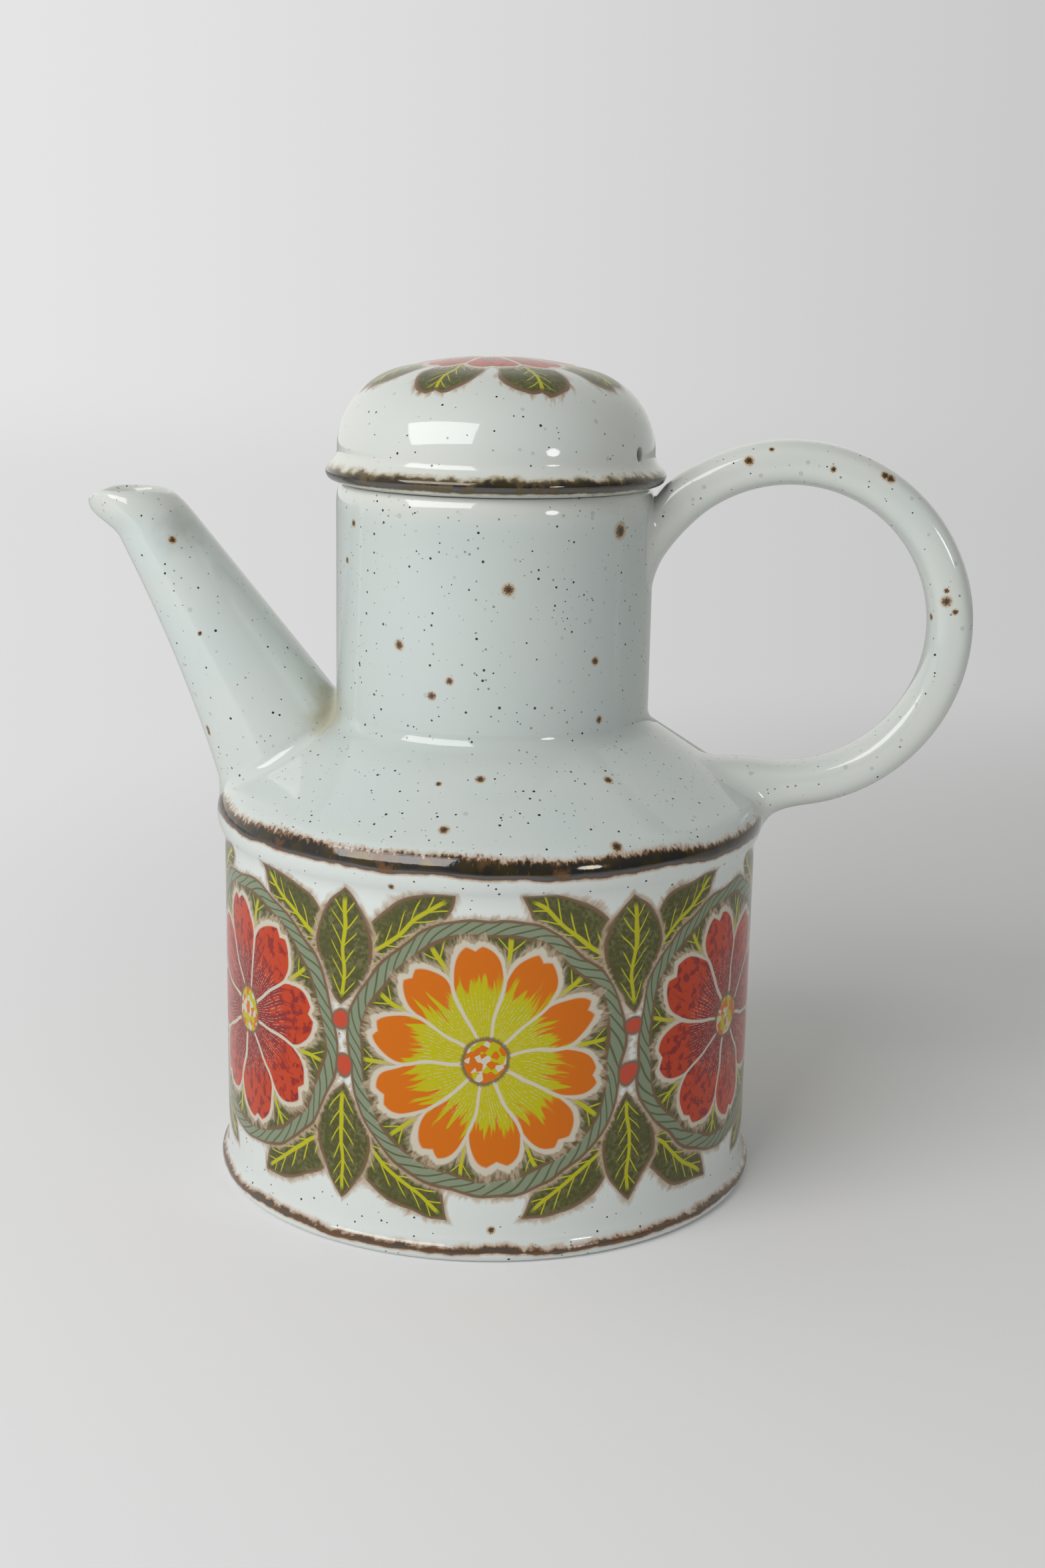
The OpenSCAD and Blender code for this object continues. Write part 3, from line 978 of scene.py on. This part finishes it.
# %% Helpers that draw petals, leaves and fringes
def petal(across, up, count, root, tip, breadth, turned_by):
    """Distance outside the nearest petal, its share from root to tip, and the place across it."""
    sector = 2 * math.pi / count
    turn = up.math("ARCTAN2", across) + turned_by
    index = (turn / sector).math("ROUND")
    local = turn - index * sector
    reach = length(across, up)
    along = (reach * local.math("COSINE") - (root + tip) / 2) / ((tip - root) / 2)
    aside = reach * local.math("SINE")
    notch = (1 - abs(aside) / 2.2).math("MAXIMUM", 0.0) * 0.13 * step(along, 0.2, 0.9)
    egg = length(along + notch, aside / (breadth * (1 + 0.42 * along))) - 1
    beside = 0.45 - reach * (sector / 2 - abs(local)).math("SINE")
    return (egg * breadth).math("MAXIMUM", beside), along * 0.5 + 0.5, aside, index


def leaf(across, up, start, end, half_w):
    """Distance outside a pointed leaf, its share from -1 to 1, and the place across it."""
    middle = ((start[0] + end[0]) / 2, (start[1] + end[1]) / 2)
    half = math.dist(start, end) / 2
    ahead = [(b - a) / 2 / half for a, b in zip(start, end)]
    right = across - middle[0]
    high = up - middle[1]
    along = (right * ahead[0] + high * ahead[1]) / half
    aside = high * ahead[0] - right * ahead[1]
    return (abs(aside) - half_w * (1 - along * along)) * 0.9, along, aside


def leaf_colour(place, along, aside):
    """Olive with a moss bloom, a yellow midrib and side veins that run forward."""
    stipple = step(clouds(place, 1.1, 2), 0.40, 0.64)
    bloom = step(clouds(place, 6, 2), 0.42, 0.60)
    flesh = laid(stipple * (0.35 + 0.55 * bloom), OLIVE, MOSS)
    slant = (along * 3.4 - abs(aside) * 0.33).math("PINGPONG", 0.5)
    side = step(slant, 0.10, 0.04) * step(abs(aside), 3.8, 2.8)
    rib = step(abs(aside), 0.72, 0.35).math("MAXIMUM", side)
    return laid(rib * step(abs(along), 0.93, 0.80), flesh, VEIN)


def fringed(under, gap, hair, line, width):
    """The bled edge of a print: brown fur that fades to tan, and a line right round the shape."""
    reach = gap - hair * 3.6
    tan = laid(step(reach, width, width * 0.4) * 0.85, under, FUR_TAN)
    brown = laid(step(reach, width * 0.45, 0.0) * 0.85, tan, FUR_BROWN)
    return laid(step(gap + hair * 0.7, 0.95, 0.60), brown, line)


def foliage(place, under, gap, along, aside, hair, width):
    """Lays leaves over a colour, with their bled edge."""
    edged = fringed(under, gap, hair, FUR_BROWN, width)
    return laid(step(gap, 0.3, -0.3), edged, leaf_colour(place, along, aside))


def yellow_petal(share, lick):
    """Orange, with yellow flames that run out from the root."""
    return laid(step(share + lick, 0.50, 0.60), YELLOW, ORANGE)


def red_petal(place, share, lick):
    """Scarlet and crimson in patches, darker towards the root."""
    rosy = step(share + lick * 1.5, 0.28, 0.58)
    return laid(rosy * step(clouds(place, 2.2), 0.38, 0.50), CRIMSON, SCARLET)


def licks(tree, share, aside, seed):
    """Noise drawn out along a petal, different on each."""
    return stray(joined(tree, aside, share * 2.6, seed), 1.5, 2)


def lined(place, under, share, aside):
    """Pale broken lines that fan out from the root of a petal."""
    line = (aside / (0.4 + 1.1 * share)).math("PINGPONG", 0.5)
    dots = step(clouds(place, 0.8), 0.46, 0.54)
    pale = step(line, 0.12, 0.05) * step(share, 0.56, 0.40) * dots
    return laid(pale * 0.75, under, CREAM)


def button(place, under, reach, hair):
    """The flower's eye: a disc of yellow and orange grains."""
    chance = drawn(cells(place, 1.6, "Color"))
    grain = laid(chance.math("GREATER_THAN", 0.52), YELLOW, ORANGE)
    grain = laid(chance.math("LESS_THAN", 0.2), grain, CREAM)
    ringed = laid(step(reach + hair * 1.6, 6.8, 6.0) * 0.9, under, FUR_BROWN)
    return laid(step(reach, 5.6, 5.2), ringed, grain)


def flower(place, under, gap, share, aside, reach, hair, flesh):
    """Lays a whole flower over a colour: the pale line round it, its petals and its eye."""
    edged = fringed(under, gap, hair, CREAM, 1.9)
    petals = laid(step(gap, 0.15, -0.15), edged, lined(place, flesh, share, aside))
    return button(place, petals, reach, hair)


def drawn_by_hand(place, size, across, up):
    """Two coordinates that stray by a millimetre or so, so that no line looks ruled."""
    x, y, z = parted(place)
    across = across + stray(place, size, 1) * WANDER
    return across, up + stray(joined(place.tree, z, x, y), size, 1) * WANDER


def hairs(tree, across, up, spread, seed=0.0):
    """How far a place is from a flower's middle, and noise drawn out along the rays from there."""
    reach = length(across, up)
    rays = joined(tree, across / reach * spread, up / reach * spread, reach * 0.25 + seed)
    return reach, stray(rays, 0.95, 3)


# %% The border on the drum
MEDALLIONS = 6
SPACING = 2 * math.pi * DRUM_R / MEDALLIONS
BORDER_MID = 53.5
FIRST_TURN = math.radians(-86)
WREATH_R = 33.8
WREATH_W = 1.7
BERRY_R = 2.2
BERRY_HIGH = 6.3
SPRAY = [((1.5, 21), (28, 41.5), 6.6), ((0, 11.0), (0, 40), 7.2)]
PETALS = (4.5, 29.5)
PETAL_W = 5.6
RED_WIDER = 1.5
LEAVES = (8.0, 33.0, 6.0)

print(f"border: {MEDALLIONS} medallions, {SPACING:.1f} apart round the drum")


def drum_border(place, under):
    """Lays the border over a colour, and returns it with the mask of all its shapes."""
    tree = place.tree
    x, y, z = parted(place)
    unrolled = (y.math("ARCTAN2", x) - FIRST_TURN) * DRUM_R
    round_it, up = drawn_by_hand(place, 15, unrolled, z - BORDER_MID)
    number = (round_it / SPACING).math("ROUND")
    across = round_it - number * SPACING
    red = (number / 2).math("PINGPONG", 0.5) * 2
    reach, hair = hairs(tree, across, up, 28, number.math("MODULO", MEDALLIONS) * 9)

    side = SPACING / 2 - abs(across)
    high = abs(up)
    spray = [leaf(side, high, *side_leaf) for side_leaf in SPRAY]
    berry = length(side, high - BERRY_HIGH) - BERRY_R
    disc = reach - WREATH_R - WREATH_W

    picture = under
    shapes = disc
    for gap, along, aside in spray:
        picture = foliage(place, picture, gap, along, aside, hair, 2.6)
        shapes = shapes.math("MINIMUM", gap)
    picture = fringed(picture, disc, hair, FUR_BROWN, 2.4)
    turn = up.math("ARCTAN2", across)
    twist = step((turn * 24 / math.pi + reach * 0.45).math("PINGPONG", 0.5), 0.16, 0.07)
    picture = laid(step(disc, 0.2, -0.2), picture, laid(twist * 0.8, SAGE, OLIVE))
    picture = laid(step(berry, 1.2, 0.3), picture, FUR_BROWN)
    picture = laid(step(berry, 0.2, -0.2), picture, SCARLET)

    count = 10 - 2 * red
    turned_by = number * 0.4 + 0.2
    breadth = PETAL_W + RED_WIDER * red
    gap, share, aside, index = petal(across, up, count, *PETALS, breadth, turned_by)
    between = turned_by + math.pi / count
    _, leaf_share, leaf_aside, _ = petal(across, up, count, *LEAVES, between)
    inner = disc + 2 * WREATH_W
    picture = laid(step(inner, 0.5, 0.1), picture, FUR_BROWN)
    ground = leaf_colour(place, leaf_share * 2 - 1, leaf_aside)
    picture = laid(step(inner + hair * 1.5, -0.3, -0.9), picture, ground)
    lick = licks(tree, share, aside, index * 5.3 + red * 31)
    flesh = laid(red, yellow_petal(share, lick), red_petal(place, share, lick))
    picture = flower(place, picture, gap, share, aside, reach, hair, flesh)
    return picture, step(shapes, 0.6, 0.0)


# %% The rosette on the crown of the lid
ROSETTE_COUNT = 8
ROSETTE_PETALS = (3.5, 21.5, 5.8)
ROSETTE_LEAVES = (13.0, 34.0, 7.2)
PRINT_FROM = 199.0
PRINT_TO = 204.0


def crown_rosette(place, under):
    """Lays the rosette over a colour, and returns it with the mask of its shapes."""
    tree = place.tree
    x, y, z = parted(place)
    across, up = drawn_by_hand(place, 14, x, y)
    reach, hair = hairs(tree, across, up, 26)
    count = ROSETTE_COUNT
    between = math.pi / count
    leaf_gap, leaf_share, leaf_aside, _ = petal(across, up, count, *ROSETTE_LEAVES, between)
    gap, share, aside, index = petal(across, up, count, *ROSETTE_PETALS, 0.0)
    picture = foliage(place, under, leaf_gap, leaf_share * 2 - 1, leaf_aside, hair, 1.7)
    flesh = red_petal(place, share, licks(tree, share, aside, index * 5.3))
    picture = flower(place, picture, gap, share, aside, reach, hair, flesh)
    on_top = step(z, PRINT_FROM, PRINT_TO)
    shapes = step(gap.math("MINIMUM", leaf_gap), 0.6, 0.0)
    return laid(on_top, under, picture), shapes * on_top


# %% [markdown]
# ## Firing the glazes
#
# Every finish ends in one Principled shader. A glossy coat over a glossy base gives the wet depth
# of a thick glaze. Its surface isn't quite true: a slow wobble of a few hundredths of a
# millimetre bends the reflections, and the iron stands a little proud.

# %% Helpers that start a material and end it with the glossy shader
def fired(name):
    """An empty material and the place on its piece."""
    material = bpy.data.materials.new(name)
    material.use_nodes = True
    tree = material.node_tree
    tree.nodes.clear()
    return material, in_mm(tree)


def glazed(place, picture, iron=0.0, printed=0.0, metal=0.0):
    """Glazes a picture. iron, printed and metal are masks of what lies in it."""
    tree = place.tree
    wobble = clouds(place, 24, 1) * 0.10 + clouds(place, 5, 1) * 0.006
    proud = iron * (0.09 + 0.03 * clouds(place, 1.5, 1))
    normal = node(tree, "ShaderNodeBump", None,
                  {"Height": wobble + proud, "Distance": MM, "Strength": 1.0})
    rough = 0.07 + clouds(place, 9, 2) * 0.04 + printed * 0.05
    shader = node(tree, "ShaderNodeBsdfPrincipled", None,
                  {"Base Color": picture, "Roughness": rough, "Metallic": metal, "IOR": 1.3,
                   "Coat Weight": 0.6 - printed * 0.52, "Coat Roughness": 0.02, "Coat IOR": 1.6,
                   "Normal": normal})
    node(tree, "ShaderNodeOutputMaterial", None, {"Surface": shader})


# %% The pot's glaze
def on_turn(r, degrees, z, size):
    """A spot placed by its radius, its angle round the pot and its height."""
    a = math.radians(degrees)
    return (r * math.cos(a), r * math.sin(a), z, size)


neck_grains = [(-145.1, 178.8, 0.9), (-150.6, 168.9, 0.9), (-81.2, 165.3, 1.5),
               (-120.4, 149.9, 1.3), (-100.9, 141.9, 1.0), (-107.3, 137.8, 1.1),
               (-37.2, 178.8, 2.1), (-48.0, 146.3, 1.1), (-45.4, 131.0, 1.0)]
drum_grains = [(51.4, -89.0, 119.4, 1.2), (53.3, -100.1, 118.1, 0.8), (66.0, -95.8, 109.9, 1.3),
               (53.3, -52.5, 118.1, 1.2), (71.4, -60.4, 106.2, 1.5), (65.1, -7.4, 111.8, 1.1),
               (73.3, -104.9, 96.6, 0.8), (72.0, -84.6, 8.4, 1.0)]
pot_grains = [on_turn(NECK_R, *grain) for grain in neck_grains]
pot_grains += [on_turn(*grain) for grain in drum_grains]

pot_glaze, place = fired("speckled_glaze_with_border")
x, y, z = parted(place)
out = length(x, y)
on_drum = step(out, DRUM_R - 1.6, DRUM_R - 0.6) * step(z, 97.5, 95.0) * step(z, 6.0, 8.0)
thin = step(z, 178.0, 187.0) * step(out, NECK_R - 6, NECK_R - 1) * 0.6
# Above the shoulder the glaze is painted darker: painted shade for the dimmer light on the neck.
neck_painted_shade = step(z, 117.0, 126.0) * 0.6
picture = laid(thin, laid(neck_painted_shade, bare_glaze(place), GLAZE_PAINTED_SHADE), GLAZE_THIN)
picture = pricked(place, picture, 0.55)
picture = stained(place, picture, (-44, -12, 126), 8.0, 0.6)
drum_glaze = laid(specks(place, 2.2, 0.20, 0.48, 0.5), GLAZE_PALE, SPECK_DARK)
picture = laid(step(z, SHOULDER_Z + 4, bead_z - 6), picture, drum_glaze)
border, shapes = drum_border(place, picture)
picture = laid(on_drum, picture, border)

tilt = x / DRUM_R
bead_mid = bead_z + 2.5 - tilt - tilt * tilt * 0.5 + stray(place, 22, 1) * 3
bead_half = 2.45 - tilt * tilt * 0.5
outside = step(out, DRUM_R - 4.4, DRUM_R - 3.4)
bead_band = iron_band(place, z - bead_mid, bead_half, outside, 3.4, 2.2, 0.62)
# The lower edge of the bead's band is grey: gunmetal, and partly a painted reflection where the bead
# turns under.
bead_grey_sheen = step(z - bead_mid + bead_half, 1.7, 0.7) * bead_band[2]
picture = banded(place, bead_band, picture, bead_grey_sheen)

foot_mid = 3.2 + stray(place, 19, 1) * 2.4
foot_band = iron_band(place, z - foot_mid, 0.85, outside, 1.4, 2.2, 0.50)
picture = banded(place, foot_band, picture, foot_band[2] * 0.5)
picture = iron_grains(place, picture, pot_grains)
picture = laid(step(z, 0.5, 0.15) * step(out, 40.0, 60.0), picture, BARE_CLAY)
iron = bead_band[3].math("MAXIMUM", foot_band[3])
glazed(place, picture, iron, shapes * on_drum, bead_band[2] * 0.6)
settle(pot, "pot_body", "pot", pot_glaze)

# %% The glaze of the spout and of the handle
spout_grains = [(-84.0, -11.6, 171.8, 1.05), (-76.3, -15.5, 147.9, 0.6),
                (-75.5, -11.2, 121.4, 1.0), (-75.2, -11.0, 120.4, 0.9), (-58.3, -34.0, 108.9, 1.0)]
handle_grains = [(65.9, -7.6, 195.7, 1.2), (71.6, -6.8, 198.7, 0.7), (87.6, -7.7, 194.0, 0.8),
                 (101.0, -7.0, 192.7, 1.1), (102.4, -6.9, 192.0, 1.3), (118.6, -7.7, 160.6, 1.4),
                 (118.4, -7.7, 163.4, 0.7), (121.0, -7.7, 157.9, 0.8), (115.3, -4.4, 156.0, 1.0)]

spout_glaze, place = fired("speckled_glaze_on_spout")
rise = parted(place)[2]
picture = laid(step(rise, 174.0, 183.0) * 0.6, bare_glaze(place), GLAZE_THIN)
picture = pricked(place, picture, 0.28)
picture = stained(place, picture, (-43, -7, 131), 8.0, 0.65)
picture = stained(place, picture, (-44, -14, 125), 8.0, 0.65)
picture = stained(place, picture, (-82, -9, 175), 8.0, 0.6, SMOKE)
glazed(place, iron_grains(place, picture, spout_grains))
settle(spout, "spout", "pot", spout_glaze)

handle_glaze, place = fired("speckled_glaze_on_handle")
picture = laid(0.45 * step(clouds(place, 30), 0.2, 0.5), bare_glaze(place), GLAZE_THIN)
picture = pricked(place, picture, 0.30)
glazed(place, iron_grains(place, picture, handle_grains))
settle(handle, "handle", "pot", handle_glaze)

# %% The lid's glaze
lid_glaze, place = fired("speckled_glaze_with_rosette")
x, y, z = parted(place)
out = length(x, y)
picture = laid(0.35 + 0.25 * step(z, 199.0, 194.0), bare_glaze(place), GLAZE_THIN)
picture = pricked(place, picture, 0.18)
picture, shapes = crown_rosette(place, picture)
rim_up = z - (seat_z + 2.75 + stray(place, 16, 1) * 0.8)
on_rim = step(out, dome_r - 1.0, dome_r - 0.2)
lid_band = iron_band(place, rim_up, 1.8, on_rim, 0.6, 3.6, 0.54)
# The lower half of the lid's band is grey: gunmetal, and partly a painted highlight of reflected
# light.
lid_grey_sheen = step(rim_up, 0.1, -0.7) * lid_band[2]
picture = banded(place, lid_band, picture, lid_grey_sheen, LID_TAN, LID_RUST)
picture = iron_grains(place, picture, [(38.0, 17.8, 201.0, 1.0)])
glazed(place, picture, lid_band[3], shapes, lid_band[2] * 0.6)
settle(lid, "lid", "lid", lid_glaze)

# %% [markdown]
# ## The table and the light
#
# The pot stands on a wide pale disc that fades into the world's own pale grey, so there is no
# horizon from any side. One large window of light stands in front on the left, and a small round
# lamp on the right gives a spark in the glaze. The world fills in the rest.

# %% Table
TABLE_R = 4000
FADE_MID = (340, 100, 0)
FADE_FROM = 200
FADE_TO = 700
TABLE_PAINT = colour(0.895, 0.903, 0.91)

disc = bmesh.new()
bmesh.ops.create_circle(disc, cap_ends=True, cap_tris=False, segments=128, radius=TABLE_R)
table = as_object(disc, "table_top")
table_paint, place = fired("pale_table")
tree = place.tree
far = step(gap_to(place, FADE_MID), FADE_FROM, FADE_TO)
looked_at = node(tree, "ShaderNodeLightPath", None, None, "Is Camera Ray")
painted = node(tree, "ShaderNodeBsdfDiffuse", None, {"Color": TABLE_PAINT})
clear = node(tree, "ShaderNodeBsdfTransparent")
fade = node(tree, "ShaderNodeMixShader", None, {0: far * looked_at, 1: painted, 2: clear})
node(tree, "ShaderNodeOutputMaterial", None, {"Surface": fade})
table.data.materials.append(table_paint)
print(f"table: a disc {TABLE_R} in radius, faded out {FADE_TO} from {FADE_MID}")

# %% World
LIT_WALL = colour(0.808, 0.808, 0.810)
LIT_BELOW = colour(0.745, 0.745, 0.746)
DIM_WALL = colour(0.522, 0.522, 0.524)
FILL = colour(1.0, 1.0, 0.96)
FILL_ALL_ROUND = 0.02
FILL_RIGHT, FILL_BEHIND, FILL_ABOVE = 0.08, 0.26, 0.23
FILL_LEFT, FILL_FRONT = 0.46, 0.05
MIRRORED_BEHIND = 0.45

world = bpy.data.worlds.new("pale_room")
world.use_nodes = True
bpy.context.scene.world = world
tree = world.node_tree
tree.nodes.clear()
way = parted(node(tree, "ShaderNodeTexCoord", None, None, "Generated"))
across = step(way[0], -0.45, 0.45)
below = step(way[2], -0.04, -0.10)
tone = laid(across, laid(below, LIT_WALL, LIT_BELOW), DIM_WALL)
shown = node(tree, "ShaderNodeBackground", None, {"Color": tone, "Strength": 1.0})
right, behind, above = [part.math("MAXIMUM", 0.0) for part in way]
left, front = [(0 - part).math("MAXIMUM", 0.0) for part in way[:2]]
mirrored = node(tree, "ShaderNodeLightPath", None, None, "Is Glossy Ray")
level = FILL_ABOVE * above + FILL_BEHIND * behind + FILL_LEFT * left
level = level + FILL_RIGHT * right + FILL_FRONT * front + FILL_ALL_ROUND
level = level + mirrored * behind * MIRRORED_BEHIND
filled = node(tree, "ShaderNodeBackground", None, {"Color": FILL, "Strength": level})
seen = mirrored.other("Is Camera Ray")
both = node(tree, "ShaderNodeMixShader", None, {0: seen, 1: filled, 2: shown})
node(tree, "ShaderNodeOutputWorld", None, {"Surface": both})
print(f"world: {len(tree.nodes)} nodes")

# %% Lamps
WINDOW_ROLL = math.radians(9.5)


def lamp(name, at, aim, power, rolled=0.0, **shape):
    """An area lamp in metres that faces a point, rolled by an angle about its own axis."""
    data = bpy.data.lights.new(name, "AREA")
    for key, value in shape.items():
        setattr(data, key, value)
    data.energy = power
    made = bpy.data.objects.new(name, data)
    made.location = at
    facing = (Vector(aim) - Vector(at)).to_track_quat("-Z", "Y")
    made.rotation_euler = (facing @ Quaternion((0, 0, 1), rolled)).to_euler()
    bpy.context.scene.collection.objects.link(made)
    print(f"{name}: {power} W, {(Vector(aim) - Vector(at)).length:.2f} m from what it lights")


lamp("window", (-0.733, -0.859, 0.806), (-0.219, -0.102, 0.032), 11.0, WINDOW_ROLL,
     shape="RECTANGLE", size=1.12, size_y=0.65)
lamp("small_lamp", (0.80, -0.83, 0.35), (0, 0, 0.15), 0.9, shape="DISK", size=0.20)

# %% [markdown]
# ## The camera
#
# The camera stands a little above the pot and looks slightly down, so that the top of the lid
# shows. It is set by three turns: round the pot, down, and a small roll about its own axis.

# %% Camera
SENSOR = 36
FOCAL_PX = 3150
FRAME_H = 2352
CAMERA_AT = (0.0389, -0.5561, 0.2384)
ROUND_TO = math.radians(3.12)
DOWN = math.radians(13.34)
ROLL = math.radians(1.122)

camera_data = bpy.data.cameras.new("camera")
camera_data.sensor_width = SENSOR
camera_data.lens = SENSOR * FOCAL_PX / FRAME_H
camera = bpy.data.objects.new("camera", camera_data)
camera.matrix_world = (Matrix.Translation(CAMERA_AT) @ Matrix.Rotation(ROUND_TO, 4, "Z")
                       @ Matrix.Rotation(math.pi / 2 - DOWN, 4, "X") @ Matrix.Rotation(ROLL, 4, "Z"))
bpy.context.scene.collection.objects.link(camera)
bpy.context.scene.camera = camera
bpy.context.scene.view_settings.view_transform = "Standard"
print(f"camera: {camera_data.lens:.1f} mm lens")
